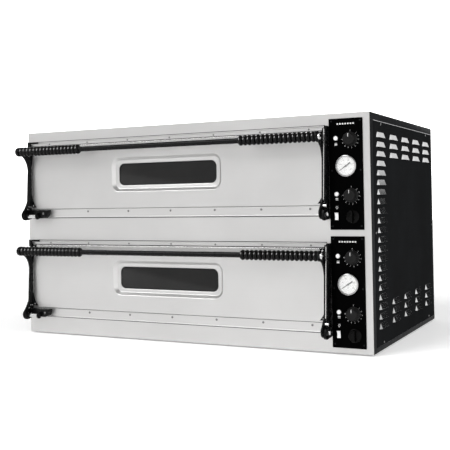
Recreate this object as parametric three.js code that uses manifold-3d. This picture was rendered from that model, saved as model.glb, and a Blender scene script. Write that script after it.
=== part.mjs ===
// Twin-deck electric pizza oven for a counter top.
// A black steel body with a stainless front holds two identical baking decks, one above the other. Each deck has
// a steel chamber with a refractory hearth and two heating elements, a door that drops forward on hinges below it,
// and its own control panel. Millimetres, +Z up, the front faces -Y, origin at the centre of the footprint.
import * as THREE from "three";
import { mergeVertices } from "three/addons/utils/BufferGeometryUtils.js";
import Module from "manifold-3d";

const wasm = await Module();
wasm.setup();

// ---- Driving dimensions -------------------------------------------------------------------------------------
const bodyWidth = 1340;
const bodyDepth = 790;
const bodyHeight = 750;
const footHeight = 5;
const sheet = 2; // panel steel
const gap = 0.3; // clearance between pieces that touch
const deckPitch = 366;
const flueLength = 30; // how far a flue pipe stands out of the back

const doorCentreX = -65; // the door sits left of centre, beside the control panels
const doorWidth = 1170;
const doorBottom = 98.5; // heights are above the deck's own zero
const doorTop = 331;
const doorFace = 5.8; // how far the door's face stands in front of the fascia
const skinThickness = 2;

const handleReach = 65; // handle bar axis, in front of the fascia
const handleHeight = 310;
const barRadius = 9;
const gripRadius = 16;
const gripLength = 268;
const tipRadius = 17; // round end of a handle arm
const armThickness = 6;

const pivotReach = 35; // door pivot axis, in front of the fascia
const pivotHeight = 72;
const pivotRadius = 6;

const mouthBottom = 139; // chamber mouth
const mouthTop = 288;
const chamberWidth = 1084;
const chamberDepth = 733;
const chamberFloor = 102;

const panelLeft = 538; // control panel
const panelRight = 648;
const panelBottom = 21.5;
const panelTop = 367.5;

const halfWidth = bodyWidth / 2;
const frontY = (handleReach + tipRadius - bodyDepth - flueLength) / 2; // centres the overall depth on Y = 0

// ---- Materials ----------------------------------------------------------------------------------------------
const finish = (color, roughness, metalness) =>
  new THREE.MeshStandardMaterial({ color, roughness, metalness });
const stainless = finish(0xcfcecb, 0.35, 0.9);
const chamberSteel = finish(0x9c9a95, 0.5, 0.8);
const blackPaint = finish(0x202022, 0.45, 0.1);
const blackGloss = finish(0x050505, 0.2, 0);
const blackPlastic = finish(0x18181a, 0.5, 0);
const whitePlastic = finish(0xf2f2f0, 0.3, 0);
const firebrick = finish(0xc9b596, 0.9, 0);
const elementMetal = finish(0x4a4744, 0.5, 0.7);
const doorGlass = finish(0x2c2a2a, 0.1, 0);
const mineralWool = finish(0xcdb75e, 1, 0);
const rubber = finish(0x161616, 0.8, 0);

// ---- Solids -------------------------------------------------------------------------------------------------
function solid(geometry) {
  const bare = geometry.index ? geometry.toNonIndexed() : geometry.clone();
  bare.deleteAttribute("normal");
  bare.deleteAttribute("uv");
  const merged = mergeVertices(bare, 1e-3);
  return new wasm.Manifold(
    new wasm.Mesh({
      numProp: 3,
      vertProperties: merged.attributes.position.array,
      triVerts: new Uint32Array(merged.index.array),
    }),
  );
}

function piece(name, shape, material) {
  const made = shape.getMesh();
  const stride = made.numProp;
  const points = new Float32Array(made.numVert * 3);
  for (let i = 0; i < made.numVert; i++)
    points.set(made.vertProperties.subarray(i * stride, i * stride + 3), i * 3);
  const geometry = new THREE.BufferGeometry()
    .setAttribute("position", new THREE.BufferAttribute(points, 3))
    .setIndex(new THREE.BufferAttribute(made.triVerts, 1));
  geometry.computeVertexNormals();
  const mesh = new THREE.Mesh(geometry, material);
  mesh.name = name;
  return mesh;
}

const joined = (...parts) => parts.reduce((a, b) => a.add(b));

// A box from x0 to x1 and z0 to z1, reaching from p0 to p1 in front of the fascia (negative is behind it).
function block([x0, x1], [p0, p1], [z0, z1]) {
  const box = new THREE.BoxGeometry(x1 - x0, p1 - p0, z1 - z0);
  return solid(box.translate((x0 + x1) / 2, frontY - (p0 + p1) / 2, (z0 + z1) / 2));
}

function roundedRect(cx, cz, width, height, radius) {
  const [x0, x1] = [cx - width / 2, cx + width / 2];
  const [z0, z1] = [cz - height / 2, cz + height / 2];
  return new THREE.Shape()
    .moveTo(x0 + radius, z0)
    .lineTo(x1 - radius, z0)
    .absarc(x1 - radius, z0 + radius, radius, -Math.PI / 2, 0)
    .lineTo(x1, z1 - radius)
    .absarc(x1 - radius, z1 - radius, radius, 0, Math.PI / 2)
    .lineTo(x0 + radius, z1)
    .absarc(x0 + radius, z1 - radius, radius, Math.PI / 2, Math.PI)
    .lineTo(x0, z0 + radius)
    .absarc(x0 + radius, z0 + radius, radius, Math.PI, 1.5 * Math.PI);
}

// An outline drawn on the front (x, z), reaching from p0 to p1.
function frontPlate(outline, [p0, p1], options = {}) {
  const settings = { depth: p1 - p0, bevelEnabled: false, curveSegments: 5, ...options };
  const made = new THREE.ExtrudeGeometry(outline, settings);
  return solid(made.rotateX(Math.PI / 2).translate(0, frontY - p0, 0));
}

// An outline drawn on the side (reach, z), filling x0 to x1.
function sidePlate(outline, [x0, x1], curveSegments = 6) {
  const made = new THREE.ExtrudeGeometry(outline, { depth: x1 - x0, bevelEnabled: false, curveSegments });
  const axes = new THREE.Matrix4().makeBasis(
    new THREE.Vector3(0, -1, 0),
    new THREE.Vector3(0, 0, 1),
    new THREE.Vector3(-1, 0, 0),
  );
  return solid(made.applyMatrix4(axes).translate(x1, frontY, 0));
}

// A round bar along X.
function crossBar(radius, [x0, x1], reach, height, sides = 16) {
  const bar = new THREE.CylinderGeometry(radius, radius, x1 - x0, sides);
  return solid(bar.rotateZ(Math.PI / 2).translate((x0 + x1) / 2, frontY - reach, height));
}

// A turned piece whose axis points out of the front; the profile holds [radius, reach] pairs.
function turned(profile, sides = 18) {
  const points = profile.map(([r, reach]) => new THREE.Vector2(r, reach));
  return solid(new THREE.LatheGeometry(points, sides).rotateX(Math.PI));
}

// ---- Control positions, above the deck's own zero --------------------------------------------------------------
const controlX = { dials: 608, gauge: 594, lamps: 561, rocker: 560, master: 612 };
const controlZ = { topDial: 302, bottomDial: 128, gauge: 219.4, topLamp: 306, bottomLamp: 132.4 };
controlZ.rocker = 64;
controlZ.master = 62.5;
const rocker = { width: 11, tall: 23, depth: 6 };
const shaft = { radius: 3, tail: 16 }; // the control shafts pass through the panel and the fascia
const lampStem = 5;

// Everything that has to be cut through the panel and the fascia for one deck's controls.
function controlHoles() {
  const round = (radius, x, z) =>
    frontPlate(new THREE.Shape().absarc(x, z, radius, 0, 2 * Math.PI), [-10, 10], { curveSegments: 6 });
  return [
    round(shaft.radius + 0.6, controlX.dials, controlZ.topDial),
    round(shaft.radius + 0.6, controlX.dials, controlZ.bottomDial),
    round(shaft.radius + 0.6, controlX.master, controlZ.master),
    round(shaft.radius + 0.6, controlX.gauge, controlZ.gauge),
    round(lampStem + 0.5, controlX.lamps, controlZ.topLamp),
    round(lampStem + 0.5, controlX.lamps, controlZ.bottomLamp),
    block(
      [controlX.rocker - rocker.width / 2 - 0.6, controlX.rocker + rocker.width / 2 + 0.6],
      [-10, 10],
      [controlZ.rocker - rocker.tall / 2 - 1, controlZ.rocker + rocker.tall / 2 + 1],
    ),
  ];
}

// ---- Body ---------------------------------------------------------------------------------------------------
const flangeWidth = 1180; // the chamber's front flange, screwed over the opening in the fascia
const flangeBottom = 67;
const flangeTop = 346;
const fasciaOpening = { width: 1120, bottom: 85, top: 330 };
const flueRadius = 24;
const flueHeight = 235;
const spanX = (width) => [doorCentreX - width / 2, doorCentreX + width / 2];

function frontFascia() {
  let plate = block([-halfWidth, halfWidth], [-sheet, 0], [footHeight, bodyHeight]);
  const { width, bottom, top } = fasciaOpening;
  for (const base of [0, deckPitch]) {
    const opening = block(spanX(width), [-10, 10], [bottom, top]);
    plate = plate.subtract(joined(opening, ...controlHoles()).translate([0, 0, base]));
  }
  return piece("front_fascia", plate, stainless);
}

// The side frame is a black sheet with a large window, which the louvred cover closes from outside.
const cover = { front: 33, back: 773, bottom: 20, top: 727.5, thickness: 1.5, overlap: 15 };

function sideFrame(name, side) {
  const xs = [halfWidth - sheet, halfWidth].map((x) => x * side).sort((a, b) => a - b);
  const sheetMetal = block(xs, [-bodyDepth, -sheet - gap], [footHeight, bodyHeight - sheet - gap]);
  const window = block(
    [xs[0] - 1, xs[1] + 1],
    [-cover.back + cover.overlap, -cover.front - cover.overlap],
    [cover.bottom + cover.overlap, cover.top - cover.overlap],
  );
  return piece(name, sheetMetal.subtract(window), blackPaint);
}

const louvre = { length: 92, height: 17, rise: 5, slope: 14, skin: 1, pitch: 30, rows: 21, columns: 5 };
louvre.firstFront = 59;
louvre.columnPitch = 145;
louvre.lowest = 75;

// A pressed louvre, open along its lower edge: it stands proud there and runs back into the sheet at its top.
// inset shrinks the outside to the hollow behind it, and drop carries that hollow out through the lower edge.
function hood(front, bottom, inset = 0, drop = 0) {
  const { length, height, rise, slope } = louvre;
  const outline = new THREE.Shape()
    .moveTo(inset, -drop)
    .lineTo(length - inset, -drop)
    .lineTo(length - slope - inset, height - inset)
    .lineTo(slope + inset, height - inset)
    .closePath();
  const box = new THREE.ExtrudeGeometry(outline, { depth: 1, bevelEnabled: false });
  const place = box.getAttribute("position");
  for (let i = 0; i < place.count; i++) {
    const [along, up, out] = [place.getX(i), place.getY(i), place.getZ(i)];
    const proud = cover.thickness - inset + (up > 0 ? 0.4 : rise);
    const root = inset ? -1 : cover.thickness / 2;
    place.setXYZ(i, out > 0 ? proud : root, along, up);
  }
  return solid(box.translate(0, frontY + front, bottom));
}

// Every column has three louvres at the top and three at the bottom; the front column is filled between them.
function louvrePlaces() {
  const { columns, rows, firstFront, columnPitch, lowest, pitch } = louvre;
  const places = [];
  for (let column = 0; column < columns; column++)
    for (let row = 0; row < rows; row++)
      if (column === 0 || row < 3 || row >= rows - 3)
        places.push([firstFront + column * columnPitch, lowest + row * pitch]);
  return places;
}

function sideCover(name, side) {
  const plate = solid(
    new THREE.BoxGeometry(cover.thickness, cover.back - cover.front, cover.top - cover.bottom).translate(
      cover.thickness / 2,
      frontY + (cover.front + cover.back) / 2,
      (cover.top + cover.bottom) / 2,
    ),
  );
  const hoods = louvrePlaces().map(([front, bottom]) => hood(front, bottom));
  const hollows = louvrePlaces().map(([front, bottom]) => hood(front, bottom, louvre.skin, 2));
  const pressed = joined(plate, ...hoods).subtract(joined(...hollows));
  const outside = halfWidth + gap;
  const set = side > 0 ? pressed : pressed.mirror([1, 0, 0]);
  return piece(name, set.translate([side * outside, 0, 0]), blackPaint);
}

function topCover() {
  const plate = block(
    [-halfWidth, halfWidth],
    [-bodyDepth, -sheet - gap],
    [bodyHeight - sheet, bodyHeight],
  );
  return piece("top_cover", plate, blackPaint);
}

function basePlate() {
  const inside = halfWidth - sheet - gap;
  const plate = block([-inside, inside], [-bodyDepth + sheet + gap, -sheet - gap], [footHeight, footHeight + sheet]);
  return piece("base_plate", plate, blackPaint);
}

const gland = { x: 600, height: 60, bore: 8, outer: 15, length: 22 };

function backPanel() {
  const inside = halfWidth - sheet - gap;
  let plate = block(
    [-inside, inside],
    [-bodyDepth, -bodyDepth + sheet],
    [footHeight + sheet + gap, bodyHeight - sheet - gap],
  );
  const hole = (radius) =>
    new THREE.CylinderGeometry(radius, radius, 10, 24).translate(0, frontY + bodyDepth, 0);
  for (const base of [0, deckPitch])
    plate = plate.subtract(solid(hole(flueRadius + 1).translate(doorCentreX, 0, base + flueHeight)));
  plate = plate.subtract(solid(hole(gland.bore).translate(gland.x, 0, gland.height)));
  return piece("back_panel", plate, blackPaint);
}

function cableGland() {
  const { bore, outer, length } = gland;
  const nut = turned(
    [
      [bore, 0],
      [outer, 0],
      [outer, length * 0.5],
      [outer - 3, length],
      [bore, length],
      [bore, 0],
    ],
    16,
  );
  const made = piece("cable_gland", nut, blackPlastic);
  made.rotation.z = Math.PI;
  made.position.set(gland.x, frontY + bodyDepth + gap, gland.height);
  return made;
}

function feet() {
  const inset = 70;
  const places = {
    foot_front_left: [-1, inset],
    foot_front_right: [1, inset],
    foot_back_left: [-1, bodyDepth - inset],
    foot_back_right: [1, bodyDepth - inset],
  };
  return Object.entries(places).map(([name, [side, back]]) => {
    const pad = new THREE.CylinderGeometry(25, 27, footHeight - gap, 24).rotateX(Math.PI / 2);
    const foot = piece(name, solid(pad), rubber);
    foot.position.set(side * (halfWidth - inset), frontY + back, (footHeight - gap) / 2);
    return foot;
  });
}

// ---- Chamber ------------------------------------------------------------------------------------------------
const element = { radius: 4, passes: 6, firstBack: 75, spacing: 115, reachX: 500, bendSteps: 5 };
element.lowHeight = 111;
element.highHeight = 276;

// A polyline that ExtrudeGeometry steps through point by point.
class Polyline extends THREE.Curve {
  constructor(points) {
    super();
    this.points = points;
  }
  getPoint(t) {
    return this.points[Math.round(t * (this.points.length - 1))].clone();
  }
  getPointAt(t) {
    return this.getPoint(t);
  }
  getTangentAt(t) {
    const last = this.points.length - 1;
    const i = Math.round(t * last);
    const from = this.points[Math.max(0, i - 1)];
    const to = this.points[Math.min(last, i + 1)];
    const ahead = to.clone().sub(this.points[i]).normalize();
    const behind = this.points[i].clone().sub(from).normalize();
    return ahead.add(behind).normalize();
  }
}

const wallX = doorCentreX + chamberWidth / 2; // inner face of the chamber's right wall
const tailX = wallX + 20; // the element's ends pass through that wall

function elementRoute(height) {
  const { passes, firstBack, spacing, reachX, bendSteps } = element;
  const points = [new THREE.Vector3(tailX, frontY + firstBack, height)];
  for (let pass = 0; pass < passes - 1; pass++) {
    const side = pass % 2 ? 1 : -1;
    const centreY = frontY + firstBack + (pass + 0.5) * spacing;
    const bendX = doorCentreX + side * (reachX - spacing / 2);
    for (let i = 0; i <= bendSteps; i++) {
      const angle = -Math.PI / 2 + (Math.PI * i) / bendSteps;
      points.push(
        new THREE.Vector3(
          bendX + (side * Math.cos(angle) * spacing) / 2,
          centreY + (Math.sin(angle) * spacing) / 2,
          height,
        ),
      );
    }
  }
  points.push(new THREE.Vector3(tailX, frontY + firstBack + (passes - 1) * spacing, height));
  return points;
}

function heatingElement(name, height) {
  const points = elementRoute(height);
  const section = new THREE.Shape().absarc(0, 0, element.radius, 0, 2 * Math.PI);
  const tube = new THREE.ExtrudeGeometry(section, {
    steps: points.length - 1,
    curveSegments: 4,
    extrudePath: new Polyline(points),
  });
  return piece(name, solid(tube), elementMetal);
}

const fluePipe = (radius, from, to) =>
  solid(
    new THREE.CylinderGeometry(radius, radius, to - from, 16).translate(
      doorCentreX,
      frontY + (from + to) / 2,
      flueHeight,
    ),
  );

// The four places where an element's ends pass through the chamber's right wall.
function tailHoles(radius, xs) {
  const reaches = [0, element.passes - 1].map((pass) => -(element.firstBack + pass * element.spacing));
  return [element.lowHeight, element.highHeight].flatMap((height) =>
    reaches.map((reach) => crossBar(radius, xs, reach, height, 12)),
  );
}

function chamber(name) {
  const halfChamber = chamberWidth / 2;
  const inner = [doorCentreX - halfChamber, doorCentreX + halfChamber];
  const outer = [inner[0] - sheet, inner[1] + sheet];
  const back = -chamberDepth;
  const flange = block(spanX(flangeWidth), [gap, gap + sheet], [flangeBottom, flangeTop]);
  const shell = block(outer, [back - sheet, gap + sheet], [chamberFloor - sheet, mouthTop + sheet]);
  const cavity = block(inner, [back, gap], [chamberFloor, mouthTop]);
  const mouth = block([inner[0] + 2, inner[1] - 2], [gap - 1, gap + sheet + 1], [mouthBottom, mouthTop]);

  const flue = fluePipe(flueRadius, chamberDepth + 1, bodyDepth + flueLength);
  const flueBore = fluePipe(flueRadius - 2, chamberDepth - 1, bodyDepth + flueLength + 1);

  const ledges = [-1, 1].map((side) => {
    const wall = side < 0 ? inner[0] : inner[1];
    const xs = side < 0 ? [wall - 1, wall + 14] : [wall - 14, wall + 1];
    return block(xs, [back + 4, -3], [118, 121.7]);
  });
  const cut = joined(cavity, mouth, flueBore, ...tailHoles(element.radius + 1, [inner[1] - 1, outer[1] + 1]));
  return piece(name, joined(joined(flange, shell, flue).subtract(cut), ...ledges), chamberSteel);
}

// Mineral wool fills the body round both chambers, up to the wiring space behind the control panels.
function insulation() {
  const right = tailX + 12;
  let wool = block(
    [-halfWidth + sheet + gap, right],
    [-bodyDepth + sheet + gap, -16],
    [footHeight + sheet + gap, bodyHeight - sheet - gap],
  );
  const halfOuter = chamberWidth / 2 + sheet + gap;
  const bay = joined(
    block(
      [doorCentreX - halfOuter, doorCentreX + halfOuter],
      [-chamberDepth - sheet - gap, 0],
      [chamberFloor - sheet - gap, mouthTop + sheet + gap],
    ),
    ...tailHoles(element.radius + 1, [wallX, right + 1]),
    fluePipe(flueRadius + gap, chamberDepth - 5, bodyDepth),
  );
  for (const base of [0, deckPitch]) wool = wool.subtract(bay.translate([0, 0, base]));
  return piece("insulation", wool, mineralWool);
}

// The hearth is scored where its tiles meet.
function hearth(name) {
  const width = chamberWidth - 6;
  const tiles = 3;
  let slab = block(spanX(width), [-chamberDepth + 10, -3], [122, 138]);
  for (let i = 1; i < tiles; i++) {
    const x = doorCentreX - width / 2 + (i * width) / tiles;
    slab = slab.subtract(block([x - 1, x + 1], [-chamberDepth, 0], [135, 140]));
  }
  return piece(name, slab, firebrick);
}

// ---- Door ---------------------------------------------------------------------------------------------------
const window = { height: 217, width: 393, tall: 77, radius: 20 }; // the visible glass
const pressing = { width: 443, tall: 123, radius: 32, slope: 12, depth: 12 }; // pressed recess round it
const armLeft = [doorCentreX - doorWidth / 2 - gap - armThickness, doorCentreX - doorWidth / 2 - gap];
const armRight = [doorCentreX + doorWidth / 2 + gap, doorCentreX + doorWidth / 2 + gap + armThickness];

const windowOutline = (grow, base = window) =>
  roundedRect(doorCentreX, window.height, base.width + grow, base.tall + grow, base.radius + grow / 2);

function doorSkin(name) {
  const recessFloor = doorFace - pressing.depth;
  const face = block(spanX(doorWidth), [doorFace - skinThickness, doorFace], [doorBottom, doorTop]);
  const surround = frontPlate(windowOutline(6, pressing), [recessFloor - sheet, doorFace - 1]);
  const floorOutline = windowOutline(-2 * pressing.slope, pressing);
  const recess = frontPlate(floorOutline, [doorFace, doorFace + 2], {
    bevelEnabled: true,
    bevelThickness: pressing.depth,
    bevelSize: pressing.slope,
    bevelSegments: 1,
  });
  const opening = frontPlate(windowOutline(0), [recessFloor - 10, doorFace + 10]);
  return piece(name, joined(face, surround).subtract(recess).subtract(opening), stainless);
}

const glassBack = doorFace - pressing.depth - sheet - gap - 4;

function doorPane(name) {
  return piece(name, frontPlate(windowOutline(18), [glassBack, glassBack + 4]), doorGlass);
}

// The inner pan fills the chamber's mouth when the door is shut. It is open towards the door's skin, with a
// collar round the glass.
function doorPan(name) {
  const front = doorFace - skinThickness - gap;
  const wall = 1.5;
  const inside = block(spanX(chamberWidth - 20 - 2 * wall), [-24 + wall, front + 1], [144 + wall, 278 - wall]);
  const collar = frontPlate(windowOutline(44), [-24, front]);
  const body = block(spanX(chamberWidth - 20), [-24, front], [144, 278]).subtract(inside.subtract(collar));
  const pocket = frontPlate(windowOutline(8, pressing), [doorFace - pressing.depth - sheet - gap, 10]);
  const seat = frontPlate(windowOutline(20), [glassBack - gap, 0]);
  const sight = frontPlate(windowOutline(4), [-30, 0]);
  return piece(name, body.subtract(pocket).subtract(seat).subtract(sight), chamberSteel);
}

// Side outline of a handle arm: an upright along the door, a branch to the handle bar and a foot round the pivot.
function armOutline() {
  const foot = { reach: 40, height: 76, radius: 20 };
  const outline = new THREE.Shape()
    .moveTo(9, 62)
    .lineTo(foot.reach - 8, foot.height - foot.radius)
    .absarc(foot.reach, foot.height, foot.radius, -Math.PI / 2, 0.35)
    .quadraticCurveTo(38, 104, 29, 128)
    .lineTo(23, 244)
    .quadraticCurveTo(28, 282, handleReach - 9, handleHeight - tipRadius + 2)
    .absarc(handleReach, handleHeight, tipRadius, -2.1, 2.1)
    .quadraticCurveTo(36, 305, 17, 292)
    .lineTo(14, 340)
    .lineTo(6.1, 340)
    .lineTo(6.1, 92)
    .closePath();
  return outline;
}

// Webs that run from the arm inwards over the door's face, where they are screwed: each has a root along the arm
// from z0 to z1, and is widest at the end named first.
const armWebs = [
  { wide: 330, narrow: 262, width: 20 },
  { wide: 104, narrow: 150, width: 22 },
];

function handleArm(name, xs, inward) {
  let arm = sidePlate(armOutline(), xs);
  arm = arm.subtract(crossBar(pivotRadius + 0.6, [xs[0] - 1, xs[1] + 1], pivotReach, pivotHeight));
  arm = arm.subtract(crossBar(5.6, [xs[0] - 1, xs[1] + 1], handleReach, handleHeight, 12));
  const root = inward > 0 ? xs[1] - 1 : xs[0] + 1;
  for (const { wide, narrow, width } of armWebs) {
    const tip = root + inward * (width + 1);
    const web = new THREE.Shape()
      .moveTo(root, wide)
      .lineTo(tip, wide)
      .quadraticCurveTo(root + inward * 6, (wide * 2 + narrow) / 3, root + inward * 2, narrow)
      .lineTo(root, narrow)
      .closePath();
    arm = arm.add(frontPlate(web, [doorFace + gap, doorFace + gap + 3]));
  }
  return piece(name, arm, blackPaint);
}

function handleBar(name) {
  const inside = [armLeft[1] + gap, armRight[0] - gap];
  const bar = crossBar(barRadius, inside, handleReach, handleHeight);
  const stud = crossBar(5, [armLeft[0] - 4, armRight[1] + 4], handleReach, handleHeight, 12);
  const capLength = 9;
  const capLeft = crossBar(8, [armLeft[0] - gap - capLength, armLeft[0] - gap], handleReach, handleHeight);
  const capRight = crossBar(8, [armRight[1] + gap, armRight[1] + gap + capLength], handleReach, handleHeight);
  return piece(name, joined(bar, stud, capLeft, capRight), blackPaint);
}

function grip(name, x0) {
  const hole = barRadius + 0.5;
  const xs = [x0, x0 + gripLength];
  const tube = crossBar(gripRadius, xs, handleReach, handleHeight, 24).subtract(
    crossBar(hole, [xs[0] - 1, xs[1] + 1], handleReach, handleHeight, 16),
  );
  return piece(name, tube, blackPlastic);
}

// ---- Hinges -------------------------------------------------------------------------------------------------
const hingePin = (xs) => crossBar(pivotRadius, xs, pivotReach, pivotHeight);

// A black channel on the chamber's flange carries an ear, and the ear carries the pin that the left arm turns on.
function hingeBracket(name) {
  const flangeFront = 2 * gap + sheet;
  const left = armLeft[1] + 1;
  const right = left + 86;
  const face = 27.5; // stops short of the pin
  const wall = 2.5;
  const outline = (inset) =>
    new THREE.Shape()
      .moveTo(left + inset, 66 + inset)
      .lineTo(right - 16 - inset, 66 + inset)
      .quadraticCurveTo(right - 5 - inset, 68 + inset, right - inset, 86)
      .lineTo(right - inset, 94.5 - inset)
      .lineTo(left + inset, 94.5 - inset)
      .closePath();
  const channel = frontPlate(outline(0), [flangeFront, face]);
  const hollow = frontPlate(outline(wall), [flangeFront + wall, face - wall]);
  const open = block([left - 1, left + wall + 1], [flangeFront + wall, face - wall], [66 + wall, 94.5 - wall]);
  const earX = left + 46;
  const ear = sidePlate(
    new THREE.Shape()
      .moveTo(face - 1, 63)
      .lineTo(pivotReach, 60)
      .absarc(pivotReach, pivotHeight, 12, -Math.PI / 2, Math.PI / 2)
      .lineTo(face - 1, 86)
      .closePath(),
    [earX, earX + 5],
  );
  const pin = hingePin([armLeft[0] - 4, earX + 8]);
  return piece(name, joined(channel.subtract(joined(hollow, open)), ear, pin), blackPaint);
}

// The post shields the control panel from the door and carries the pin that the right arm turns on.
function hingePost(name) {
  const xs = [panelLeft - 7.5, panelLeft - 0.5];
  const outline = new THREE.Shape()
    .moveTo(gap, 56)
    .lineTo(46, 52)
    .absarc(50, 64, 11, -Math.PI / 2, 0.2)
    .lineTo(57, 84)
    .lineTo(26, 86)
    .lineTo(26, 108)
    .lineTo(44, 114)
    .lineTo(30, 338)
    .lineTo(22, 346)
    .lineTo(gap, 346)
    .closePath();
  const post = sidePlate(outline, xs);
  const pin = hingePin([armRight[0] - 2, xs[0] + 1]);
  const head = crossBar(pivotRadius - 1.5, [xs[1] - 1, xs[1] + 5], pivotReach, pivotHeight);
  return piece(name, joined(post, pin, head), blackPaint);
}

// ---- Controls -----------------------------------------------------------------------------------------------
const panelFront = gap + sheet;

function controlPanel(name) {
  const plate = block([panelLeft, panelRight], [gap, panelFront], [panelBottom, panelTop]);
  const surround = roundedRect(controlX.rocker, controlZ.rocker, rocker.width + 5, rocker.tall + 5, 2);
  const rim = frontPlate(surround, [panelFront - 1, panelFront + 2.5]);
  return piece(name, joined(plate, rim).subtract(joined(...controlHoles())), blackGloss);
}

function placed(mesh, x, z) {
  mesh.position.set(x, frontY - panelFront - gap, z);
  return mesh;
}

function dialKnob(name, z) {
  const cap = turned([
    [0, -shaft.tail],
    [shaft.radius, -shaft.tail],
    [shaft.radius, 0],
    [23, 0],
    [23, 3],
    [20, 5],
    [19, 21],
    [17, 23.5],
    [0, 23.5],
  ]);
  return placed(piece(name, cap, blackPlastic), controlX.dials, z);
}

function masterKnob(name) {
  const base = turned([
    [0, -shaft.tail],
    [shaft.radius, -shaft.tail],
    [shaft.radius, 0],
    [22, 0],
    [22, 5],
    [19, 8],
    [0, 8],
  ]);
  const lever = solid(new THREE.BoxGeometry(11, 16, 38).translate(0, -15, 0));
  return placed(piece(name, joined(base, lever), blackPlastic), controlX.master, controlZ.master);
}

// The rocker's two faces meet at an angle, and it stands tilted to one side of its axis.
const rockerTilt = 8;

function rockerButton(name) {
  const half = rocker.tall / 2;
  const outline = new THREE.Shape()
    .moveTo(-3, -half + 1.5)
    .lineTo(rocker.depth - 1, -half)
    .lineTo(rocker.depth - 3, 0)
    .lineTo(rocker.depth - 1, half)
    .lineTo(-3, half - 1.5)
    .closePath();
  const body = sidePlate(outline, [-rocker.width / 2, rocker.width / 2]).translate([0, -frontY, 0]);
  const button = piece(name, body, whitePlastic);
  button.rotation.x = THREE.MathUtils.degToRad(rockerTilt);
  button.position.set(controlX.rocker, frontY - panelFront, controlZ.rocker);
  return button;
}

function pilotLamp(name, z) {
  const lens = turned(
    [
      [0, -shaft.tail],
      [lampStem, -shaft.tail],
      [lampStem, 0],
      [7.5, 0],
      [7.5, 3],
      [6, 6],
      [3, 7.6],
      [0, 8],
    ],
    12,
  );
  return placed(piece(name, lens, whitePlastic), controlX.lamps, z);
}

const gauge = { radius: 34, rim: 3.5, floor: 3, depth: 10 };

function gaugeCase(name) {
  const { radius, rim, floor, depth } = gauge;
  const cup = turned(
    [
      [0, -shaft.tail],
      [shaft.radius, -shaft.tail],
      [shaft.radius, 0],
      [radius, 0],
      [radius, depth - 2],
      [radius - 1.5, depth],
      [radius - rim, depth],
      [radius - rim, floor],
      [0, floor],
    ],
    28,
  );
  return placed(piece(name, cup, stainless), controlX.gauge, controlZ.gauge);
}

// The pointer rests on the cold end of the scale, below the horizontal on the left.
const coldAngle = THREE.MathUtils.degToRad(214);

function gaugeNeedle(name) {
  const hub = turned(
    [
      [0, gauge.floor + gap],
      [3.2, gauge.floor + gap],
      [3.2, gauge.floor + 3.5],
      [0, gauge.floor + 3.5],
    ],
    12,
  );
  const blade = new THREE.Shape()
    .moveTo(-11, -1.8)
    .lineTo(0, -1.1)
    .lineTo(25, -0.35)
    .lineTo(25, 0.35)
    .lineTo(0, 1.1)
    .lineTo(-11, 1.8)
    .closePath();
  const flat = frontPlate(blade, [gauge.floor + 1, gauge.floor + 2.2]).translate([0, -frontY, 0]);
  const needle = piece(name, joined(hub, flat), blackPlastic);
  needle.rotation.y = -coldAngle;
  return placed(needle, controlX.gauge, controlZ.gauge);
}

// ---- Assembly -----------------------------------------------------------------------------------------------
function deck(prefix, base) {
  const named = (part) => `${prefix}_${part}`;
  const group = new THREE.Group();
  group.add(
    chamber(named("chamber")),
    hearth(named("hearth_stone")),
    heatingElement(named("heater_top"), element.highHeight),
    heatingElement(named("heater_bottom"), element.lowHeight),
    doorSkin(named("door_skin")),
    doorPan(named("door_inner_pan")),
    doorPane(named("door_glass")),
    handleArm(named("handle_arm_left"), armLeft, 1),
    handleArm(named("handle_arm_right"), armRight, -1),
    handleBar(named("handle_bar")),
    grip(named("handle_grip_left"), armLeft[1] + 2),
    grip(named("handle_grip_right"), armRight[0] - 2 - gripLength),
    hingeBracket(named("hinge_bracket_left")),
    hingePost(named("hinge_post_right")),
    controlPanel(named("control_panel")),
    dialKnob(named("thermostat_knob_top"), controlZ.topDial),
    dialKnob(named("thermostat_knob_bottom"), controlZ.bottomDial),
    masterKnob(named("main_switch_knob")),
    rockerButton(named("light_switch_rocker")),
    pilotLamp(named("pilot_lamp_top"), controlZ.topLamp),
    pilotLamp(named("pilot_lamp_bottom"), controlZ.bottomLamp),
    gaugeCase(named("thermometer_case")),
    gaugeNeedle(named("thermometer_needle")),
  );
  group.position.z = base;
  return group;
}

const oven = new THREE.Group();
oven.add(
  frontFascia(),
  sideFrame("side_frame_right", 1),
  sideFrame("side_frame_left", -1),
  sideCover("side_cover_right", 1),
  sideCover("side_cover_left", -1),
  topCover(),
  basePlate(),
  backPanel(),
  cableGland(),
  insulation(),
  ...feet(),
  deck("lower", 0),
  deck("upper", deckPitch),
);

export default oven;
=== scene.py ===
"""Looks for the twin-deck countertop pizza oven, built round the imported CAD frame."""
import math

import bmesh
import bpy
from mathutils import Matrix, Vector
from mathutils.geometry import tessellate_polygon

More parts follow.
